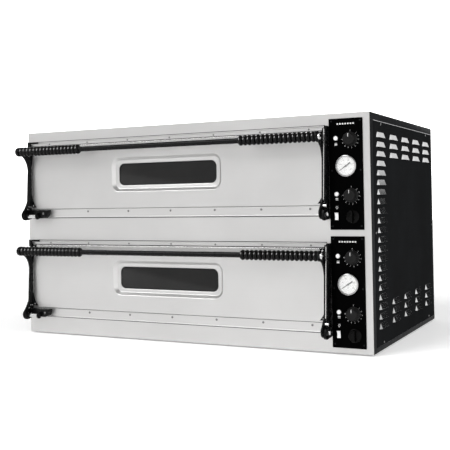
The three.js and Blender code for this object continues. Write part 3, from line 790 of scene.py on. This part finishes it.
def handle(deck, base):
    body = f"{deck}_door"
    bar = Build()
    centre = at(0, BAR_REACH, base + BAR_Z)
    left, right = ARM_LEFT[1] + 0.3, ARM_RIGHT[0] - 0.3
    bar.lathe(centre, SIDEWAYS, [(8.2, left), (9, left + 0.8), (9, right - 0.8), (8.2, right)], sides=32)
    bar.object(f"{deck}_bar", "handle_tube", body, [f"{deck}_handle_bar"], "handle_tube")
    cap = Build()
    outer = ARM_LEFT[0] - 0.3
    cap.lathe(
        centre,
        SIDEWAYS,
        [(5, outer), (14.5, outer), (16.4, outer - 1.6), (16.6, outer - 4), (15, outer - 7.4),
         (12, outer - 9.4), (7, outer - 10.6), (0.02, outer - 11)],
        sides=40,
    )
    cap.object(f"{deck}_bar_end_left", "grip_plastic", body, smooth=60)
    nut = Build()
    outer = ARM_RIGHT[1] + 0.3
    nut.lathe(
        centre,
        SIDEWAYS,
        [(5, outer), (9.2, outer), (10, outer + 0.8), (10, outer + 6), (8.6, outer + 7.6),
         (0.02, outer + 8.4)],
        sides=32,
    )
    nut.object(f"{deck}_bar_end_right", "screw_steel", body)
    ringed_grip(f"{deck}_grip_left", ARM_LEFT[1] + 1, -380, base, body, [f"{deck}_handle_grip_left"])
    ringed_grip(f"{deck}_grip_right", 254, ARM_RIGHT[0] - 1, base, body, [f"{deck}_handle_grip_right"])


def hinge_details(deck, base):
    """Bright pins, the stop pin beside the control panel and the bracket's screw."""
    pins = Build()
    pivot = at(0, PIVOT_REACH, base + PIVOT_Z)
    left = ARM_LEFT[0] - 4.2
    left_head = [(0.02, left), (7.6, left), (8.4, left - 0.8), (8.4, left - 3), (6.5, left - 4.4),
                 (0.02, left - 4.8)]
    bush = [(6.3, -649.0), (7.3, -648.2), (7.3, -605.0), (6.3, -604.2)]
    right = PANEL_X[0] - 0.4
    right_head = [(0.02, right), (7.4, right), (8.2, right + 0.8), (8.2, right + 4.4),
                  (6.6, right + 5.8), (0.02, right + 6.2)]
    for profile in (left_head, bush, right_head):
        pins.lathe(pivot, SIDEWAYS, profile, sides=28)
    pins.object(f"{deck}_hinge_bush", "screw_steel", "body")
    stop = Build()
    stop.lathe(
        at(0, 34, base + 97),
        SIDEWAYS,
        [(0.02, 527.4), (5.6, 527.4), (6.5, 528.2), (6.5, 538.6), (5.6, 539.4), (0.02, 539.4)],
        sides=28,
    )
    stop.object(f"{deck}_stop_pin", "screw_steel", "body")
    screws = Build()
    domed_screw(screws, at(-580, 27.5, base + 81), FORWARD, 4.0, 2.0)
    screws.object(f"{deck}_bracket_screws", "strip_screw_steel", "body")
    # A bright steel edging runs down the sloping front of the black post.
    edging = Build()
    section = ((531.0, 0), (533.6, 0), (533.6, 2.6), (531.0, 2.6))
    ends = ((116.5, 42.2), (336.5, 28.4))
    edging.loft([[at(x, lead + reach, base + z) for x, reach in section] for z, lead in ends])
    edging.object(f"{deck}_post_edging", "edge_steel", "body", bevel=0.4)


# ---- Controls -----------------------------------------------------------------------------------
def text_outline(text, size):
    """A short number as flat vertices and faces, centred on the origin, in millimetres."""
    curve = bpy.data.curves.new("number", "FONT")
    curve.body = text
    curve.size = size
    curve.align_x = "CENTER"
    curve.align_y = "CENTER"
    curve.resolution_u = 3
    holder = linked("number", curve)
    bpy.context.view_layer.update()
    mesh = holder.evaluated_get(bpy.context.evaluated_depsgraph_get()).to_mesh()
    points = [(v.co.x, v.co.y) for v in mesh.vertices]
    faces = [tuple(p.vertices) for p in mesh.polygons]
    bpy.data.objects.remove(holder)
    return points, faces


GLYPHS = {}


def number(build, text, size, x, z, reach, thick=0.12):
    """Prints a number on a face that looks out of the front."""
    if (text, size) not in GLYPHS:
        GLYPHS[text, size] = text_outline(text, size)
    points, faces = GLYPHS[text, size]
    build.add([at(x + across, reach + thick, z + up) for across, up in points], faces)


def mark(build, x, z, angle, start, end, width, reach, thick=INK):
    """A straight tick from start to end along angle (anticlockwise from +X), round the point x, z."""
    c, s = math.cos(angle), math.sin(angle)
    half = width / 2
    corners = [(start, -half), (end, -half), (end, half), (start, half)]
    loop = [(x + along * c - across * s, z + along * s + across * c) for along, across in corners]
    build.loft([lifted(loop, reach), lifted(loop, reach + thick)])


def print_shape(build, outline):
    """Prints a flat shape on the control panel."""
    build.loft([lifted(outline, PANEL_FACE), lifted(outline, PANEL_FACE + INK)])


DIAL_TURNS = [0] + [45 + 25 * i for i in range(10)]  # degrees clockwise from the top
DIAL_TICK = (23.4, 24.6)  # radii of a tick's ends
DIAL_NUMBER_RADIUS = 27.6
UP = math.pi / 2


def dial_print(build, base, z):
    """Ticks and numbers from the top clockwise to the left, round one dial."""
    for i, turn in enumerate(DIAL_TURNS):
        angle = UP - math.radians(turn)
        mark(build, DIAL_X, base + z, angle, *DIAL_TICK, 0.6, PANEL_FACE)
        x = DIAL_X + DIAL_NUMBER_RADIUS * math.cos(angle)
        height = base + z + DIAL_NUMBER_RADIUS * math.sin(angle)
        number(build, str(i), 4.5, x, height, PANEL_FACE)


def pictogram_print(build, base):
    """Small symbols: a bar over a dish for upper heat, under it for lower heat, and a lamp."""
    for z, bar_up in ((286, True), (118, False)):
        height = base + z
        print_shape(build, rounded(LAMP_X, height, 8.5, 4.6, 1.0, 3))
        offset = 4.4 if bar_up else -4.4
        print_shape(build, rounded(LAMP_X, height + offset, 8.5, 1.4, 0.5, 3))
    x, z = 560.7, base + 89.6
    build.plate(circle(x, z + 1.2, 3.6, 20), [circle(x, z + 1.2, 2.5, 20)], PANEL_FACE, PANEL_FACE + INK)
    mark(build, x, z - 3.4, 0, -1.6, 1.6, 1.5, PANEL_FACE)
    for turn in (0.25, 0.5, 0.75):
        mark(build, x, z + 1.2, math.pi * turn, 4.4, 5.8, 0.7, PANEL_FACE)


def control_panel(deck, base):
    x0, x1 = PANEL_X
    z0, z1 = base + PANEL_Z[0], base + PANEL_Z[1]
    build = Build()
    outer = rounded((x0 + x1) / 2, (z0 + z1) / 2, x1 - x0, z1 - z0, 1.5, 3)
    build.plate(outer, control_hole_loops(base), 0.3, PANEL_FACE)
    x, z = ROCKER[0], base + ROCKER[1]
    outside = rounded(x, z, 16, 28, 2.0, 4)
    crest = rounded(x, z, 15, 27, 1.8, 4)
    inside = rounded(x, z, 12.2, 25, 1.0, 4)
    rim = ((outside, -0.2), (outside, 1.8), (crest, 2.5), (inside, 2.5), (inside, -0.2), (outside, -0.2))
    build.loft([lifted(loop, PANEL_FACE + rise) for loop, rise in rim], caps=False)
    replaced = [f"{deck}_control_panel"]
    build.object(f"{deck}_panel", "black_gloss", "body", replaced, "black_gloss", bevel=0.35)

    screws = Build()
    for sx in (x0 + 8.5, x1 - 8):
        for height in (359.5, 206, 33):
            domed_screw(screws, at(sx, PANEL_FACE, base + height), FORWARD, 2.9, 1.2)
    screws.object(f"{deck}_panel_screws", "black_paint", "body")

    ink = Build()
    for height in DIAL_Z.values():
        dial_print(ink, base, height)
    pictogram_print(ink, base)
    ink.object(f"{deck}_panel_print", "white_print", "body")

    # A plain row of short bars, not a word, heads the panel.
    badge = Build()
    for i in range(7):
        print_shape(badge, rounded(567 + i * 8.6, base + 350.5, 5.4, 4.6, 1.0, 3))
    badge.object(f"{deck}_panel_badge", "white_print", "body")


def dial_knob(deck, which, base):
    body = f"{deck}_thermostat_knob_{which}"
    x, z = DIAL_X, base + DIAL_Z[which]

    def flutes(angle, radius):
        """Shallow flutes round the grip, none on the skirt or the top."""
        return radius * (1 + 0.022 * math.cos(20 * angle)) if 16 < radius < 19.6 else radius

    build = Build()
    build.stand(
        x,
        z,
        [(3, -16), (3, 0.3), (21.6, 0.3), (22.6, 0.9), (22.8, 2.4), (21.5, 3.8), (19.5, 4.8), (19.0, 6.0),
         (18.4, 20.2), (17.6, 22.2), (15.4, 23.4), (13.5, 23.2), (0.02, 22.7)],
        sides=80,
        wobble=flutes,
    )
    build.object(f"{deck}_dial_{which}", "black_plastic", body, [body], "black_plastic", smooth=50)
    line = Build()
    mark(line, x, z, UP, 6.5, 16.8, 1.7, PANEL_FACE + 23.0, 0.45)
    line.object(f"{deck}_dial_{which}_pointer", "white_print", body, bevel=0.15)


def master_knob(deck, base):
    """A round switch cap with a deep grip bar across it."""
    body = f"{deck}_main_switch_knob"
    x, z = MASTER[0], base + MASTER[1]
    build = Build()
    build.stand(
        x,
        z,
        [(3, -16), (3, 0.3), (21.2, 0.3), (22, 1.0), (22, 4.4), (21.2, 5.6), (18.4, 7.6), (17.0, 8.0),
         (0.02, 8.0)],
        sides=64,
    )
    bar = ((7.6, 0.0), (14, -0.6), (20.4, -1.4), (22.4, -2.6), (23.2, -4.6))
    build.loft([lifted(rounded(x, z, 11 + g, 38 + g, 3.0, 5), PANEL_FACE + reach) for reach, g in bar])
    build.object(f"{deck}_main_knob", "switch_plastic", body, [body], "black_plastic", smooth=45)


def lamp(deck, which, base):
    node = f"{deck}_pilot_lamp_{which}"
    place = (LAMP_X, base + LAMP_Z[which])
    build = Build()
    profile = [(5, -16), (5, 0.3), (6.9, 0.3)]
    dome = [math.radians(12 * i) for i in range(8)]
    profile += [(6.9 * math.cos(a), 2.4 + 5.2 * math.sin(a)) for a in dome]
    profile.append((0.02, 7.6))
    build.stand(*place, profile, sides=40)
    build.object(f"{node}_lens", "white_lens", "body", [node], "white_lens", smooth=50)
    collar = Build()
    rim = [(7.1, 0.1), (8.6, 0.1), (8.6, 0.8), (8.0, 1.5), (7.1, 1.7), (7.1, 0.1)]
    collar.stand(*place, rim, sides=40)
    collar.object(f"{node}_collar", "black_plastic", "body")


GAUGE_COLD = math.radians(214)
GAUGE_SWEEP = math.radians(248)
GAUGE_STEPS = 25
DEGREES_PER_STEP = 20


def thermometer(deck, base):
    x, z = GAUGE[0], base + GAUGE[1]
    case = Build()
    case.stand(
        x,
        z,
        [(3, -16), (3, 0.3), (32.4, 0.3), (34.0, 1.4), (34.3, 6.0), (33.8, 8.6), (32.6, 9.9), (31.4, 10.2),
         (30.6, 9.4), (30.4, 7.0), (30.4, 3.3), (0.02, 3.3)],
        sides=72,
    )
    replaced = [f"{deck}_thermometer_case"]
    case.object(f"{deck}_gauge_case", "gauge_steel", "body", replaced, "gauge_steel", smooth=50)
    face = Build()
    face.stand(x, z, [(30.2, 3.35), (30.2, 3.75), (0.02, 3.75)], sides=64)
    face.object(f"{deck}_gauge_face", "dial_white", "body")
    ink = Build()
    top = PANEL_FACE + 3.7
    thick = 0.08
    for i in range(GAUGE_STEPS + 1):
        angle = GAUGE_COLD - GAUGE_SWEEP * i / GAUGE_STEPS
        major = i % 5 == 0
        start, width = (23.4, 0.8) if major else (25.4, 0.45)
        mark(ink, x, z, angle, start, 28.2, width, top, thick)
        if major:
            text = str(i * DEGREES_PER_STEP)
            number(ink, text, 4.6, x + 18.6 * math.cos(angle), z + 18.6 * math.sin(angle), top, thick)
    number(ink, "°C", 4.4, x, z - 12, top, thick)
    # The thin black ring at the bezel's inner edge is a painted shadow line.
    ink.plate(circle(x, z, 30.0, 64), [circle(x, z, 29.1, 64)], top, top + thick)
    ink.object(f"{deck}_gauge_print", "black_print", "body")

    body = f"{deck}_thermometer_needle"
    needle = Build()
    c, s = math.cos(GAUGE_COLD), math.sin(GAUGE_COLD)
    outline = [(-17, -2.4), (-4, -2.0), (25, -0.8), (26.2, 0), (25, 0.8), (-4, 2.0), (-17, 2.4)]
    turned = [(x + a * c - b * s, z + a * s + b * c) for a, b in outline]
    needle.loft([lifted(turned, PANEL_FACE + r) for r in (4.4, 5.2)])
    hub = [(3.2, 4.1), (3.2, 6.0), (2.4, 6.8), (0.02, 7.0)]
    needle.stand(x, z, hub, sides=24)
    needle.object(f"{deck}_gauge_needle", "black_print", body, [body], "black_plastic")
    glass = Build()
    glass.stand(
        x,
        z,
        [(30.3, 8.0), (30.3, 8.6), (22, 9.4), (10, 9.9), (0.02, 10.0), (0.02, 9.4), (10, 9.3), (22, 8.8),
         (30.3, 8.0)],
        sides=64,
    )
    glass.object(f"{deck}_gauge_glass", "clear_glass", "body", smooth=60)


def rocker_switch(deck, base):
    """A two-faced rocker, stored with its lower half pressed in."""
    body = f"{deck}_light_switch_rocker"
    x, z = ROCKER[0], base + ROCKER[1]
    tilt = math.radians(8)
    lower_half = [(-3, -10), (4.2, -11.5), (5.0, -11.1), (3.3, -4)]
    upper_half = [(reach, -height) for reach, height in reversed(lower_half)]
    profile = [*lower_half, (2.9, 0), *upper_half]
    loops = []
    for side in (-5.5, 5.5):
        loop = []
        for reach, height in profile:
            forward = reach * math.cos(tilt) + height * math.sin(tilt)
            up = height * math.cos(tilt) - reach * math.sin(tilt)
            loop.append(at(x + side, PANEL_FACE + forward, z + up))
        loops.append(loop)
    build = Build()
    build.loft(loops)
    build.object(f"{deck}_rocker", "white_plastic", body, [body], "white_plastic", bevel=0.5, smooth=25)


# ---- Kept CAD nodes -----------------------------------------------------------------------------
KEPT = {
    "side_frame": ("black_paint", 0.5),
    "top_cover": ("black_paint", 0.6),
    "base_plate": ("black_paint", 0.5),
    "back_panel": ("black_paint", 0.4),
    "cable_gland": ("black_plastic", 0.6),
    "insulation": ("mineral_wool", 0.0),
    "foot": ("rubber", 0.8),
    "hearth_stone": ("firebrick", 1.2),
    "heater": ("element_metal", 0.0),
    "handle_arm": ("handle_tube", 0.7),
    "hinge_bracket": ("handle_tube", 0.6),
    "hinge_post": ("handle_tube", 0.5),
    "door_glass": ("door_glass", 0.4),
    "door_inner_pan": ("chamber_steel", 0.5),
    "chamber": ("chamber_steel", 0.0),
}


def finish_kept_nodes():
    """Gives each CAD node that still shows its material and rounded edges."""
    for name, made in nodes.items():
        if made.hide_render:
            continue
        material, bevel = next(look for key, look in KEPT.items() if key in name)
        made.data.materials.clear()
        made.data.materials.append(MATERIALS[material])
        weld = made.modifiers.new("weld", "WELD")
        weld.merge_threshold = 1e-6
        flat = made.modifiers.new("flat faces", "DECIMATE")
        flat.decimate_type = "DISSOLVE"
        flat.angle_limit = math.radians(1)
        if name.endswith("_chamber"):
            made.data.materials.append(MATERIALS["stainless"])
            for polygon in made.data.polygons:
                polygon.material_index = 1 if polygon.center.y < (FRONT - 0.2) * MM else 0
        finish_edges(made, bevel)


# ---- Build all ----------------------------------------------------------------------------------
fascia()
for side_name, sign in SIDES.items():
    side_cover(side_name, sign)
for side_name, sign in SIDES.items():
    cover_screws(side_name, sign)
top_details()
back_details()
for deck_name, deck_base in DECKS.items():
    front_strips(deck_name, deck_base)
    door(deck_name, deck_base)
    corner_angle(deck_name, deck_base)
    handle(deck_name, deck_base)
    hinge_details(deck_name, deck_base)
    control_panel(deck_name, deck_base)
    thermometer(deck_name, deck_base)
    master_knob(deck_name, deck_base)
    rocker_switch(deck_name, deck_base)
    for position in ("top", "bottom"):
        dial_knob(deck_name, position, deck_base)
        lamp(deck_name, position, deck_base)
finish_kept_nodes()


# ---- Stage, light and camera --------------------------------------------------------------------
def stage_piece(name, points, faces, material):
    """A piece of the studio round the oven, in metres."""
    mesh = bpy.data.meshes.new(name)
    mesh.from_pydata([tuple(p) for p in points], [], faces)
    mesh.materials.append(material)
    made = linked(name, mesh)
    return made


def floor():
    size = 14.0
    corners = [(x, y, 0) for x, y in rectangle(-size, size, -size, size)]
    stage_piece("floor", corners, [(0, 1, 2, 3)], studio_white("pale floor", 0.33))


def backdrop():
    """A white wall all round that only the camera sees, so it adds no light of its own."""
    build = Build()
    wall = circle(0, 0, 13.0, 64)
    build.loft([[(x, y, z) for x, y in wall] for z in (-0.5, 12.0)], caps=False)
    made = stage_piece("backdrop", build.points, build.faces, studio_white("white wall", 1.0))
    made.visible_diffuse = False
    made.visible_glossy = False
    made.visible_transmission = False
    made.visible_shadow = False


def world():
    """White studio light with a shaded quarter behind the oven's right, lit above eye level."""
    made = bpy.data.worlds.new("studio")
    bpy.context.scene.world = made
    made.use_nodes = True
    tree = made.node_tree
    background = tree.nodes["Background"]
    coordinates = tree.nodes.new("ShaderNodeTexCoord")

    def feed(value, socket):
        """Joins an output to a socket, or sets the socket to a plain grey."""
        if isinstance(value, float):
            socket.default_value = (*grey(value), 1)
        else:
            tree.links.new(value, socket)

    def shade(previous, direction, begins, full, level):
        """Pulls previous towards level round a direction, where the cosine to it passes begins."""
        dot = tree.nodes.new("ShaderNodeVectorMath")
        dot.operation = "DOT_PRODUCT"
        dot.inputs[1].default_value = Vector(direction).normalized()
        tree.links.new(coordinates.outputs["Generated"], dot.inputs[0])
        mask = colour_ramp(tree, dot.outputs["Value"], [(begins, grey(0)), (full, grey(1))])
        mix = tree.nodes.new("ShaderNodeMix")
        mix.data_type = "RGBA"
        tree.links.new(mask, mix.inputs["Factor"])
        feed(previous, mix.inputs["A"])
        feed(level, mix.inputs["B"])
        return mix.outputs["Result"]

    behind = shade(0.015, (-0.8, 0, 1), 0.005, 0.044, 1.7)
    # Each patch is (direction, where it begins, where it is full, level), laid over those before it.
    patches = (
        ((-0.5, -0.86, 0.0), 0.72, 0.92, 0.66),  # front left, which the steel front mirrors
        ((0, 0, 1), 0.45, 0.80, 0.25),  # dim overhead
        ((-0.95, 0.30, 0.0), 0.80, 0.90, 0.04),  # dark on the far left
        ((0.52, 0.85, 0.0), 0.72, 0.86, behind),  # back right: dark low down and bright above
        ((0.78, 0.51, 0.35), 0.965, 0.985, 3.2),  # a spot that the louvres' ends mirror
        ((-0.40, -0.65, 0.65), 0.95, 0.975, 7.0),  # a small soft box above the front
        ((0.90, -0.42, 0.05), 0.86, 0.95, 1.7),  # bright on the right
    )
    sky = 1.05
    for patch in patches:
        sky = shade(sky, *patch)
    tree.links.new(sky, background.inputs["Color"])
    background.inputs["Strength"].default_value = 1.0


def soft_light(name, place, target, size, power, only=None):
    """A rectangular light. Its reflection shows only if it lights one collection alone."""
    data = bpy.data.lights.new(name, "AREA")
    data.shape = "RECTANGLE"
    data.size, data.size_y = size
    data.energy = power
    made = linked(name, data)
    made.visible_camera = False
    made.visible_glossy = only is not None
    made.light_linking.receiver_collection = only
    direction = Vector(target) - Vector(place)
    made.matrix_world = Matrix.Translation(place) @ direction.to_track_quat("-Z", "Y").to_matrix().to_4x4()


CAMERA_PLACE = (1421, -2738, 491)
CAMERA_ANGLES = (25.81, 0.62, -1.03)  # yaw, pitch and roll in degrees
CAMERA_LENS = 64.43
CAMERA_SHIFT = (-0.0652, -0.0793)


def camera():
    """Stands in front and to the right of the oven, a little above its middle."""
    data = bpy.data.cameras.new("camera")
    made = linked("camera", data)
    yaw, pitch, roll = (math.radians(a) for a in CAMERA_ANGLES)
    forward = Vector((-math.sin(yaw) * math.cos(pitch), math.cos(yaw) * math.cos(pitch), math.sin(pitch)))
    level = Vector((math.cos(yaw), math.sin(yaw), 0))
    upright = level.cross(forward)
    right = math.cos(roll) * level + math.sin(roll) * upright
    up = -math.sin(roll) * level + math.cos(roll) * upright
    turn = Matrix((right, up, -forward)).transposed().to_4x4()
    made.matrix_world = Matrix.Translation(Vector(CAMERA_PLACE) * MM) @ turn
    data.sensor_width = 36
    data.lens = CAMERA_LENS
    data.shift_x, data.shift_y = CAMERA_SHIFT
    bpy.context.scene.camera = made


floor()
backdrop()
world()
soft_light("key", (-1.6, -3.4, 2.8), (0, 0, 0.4), (2.4, 2.0), 12)
soft_light("fill", (3.0, -2.4, 1.8), (0.4, 0, 0.4), (1.8, 1.8), 20)
soft_light("grip light", (-2.0, -3.6, 3.0), (0, 0, 0.5), (3.2, 3.2), 1400, only=GRIPS)
camera()

bpy.context.scene.view_settings.view_transform = "Standard"
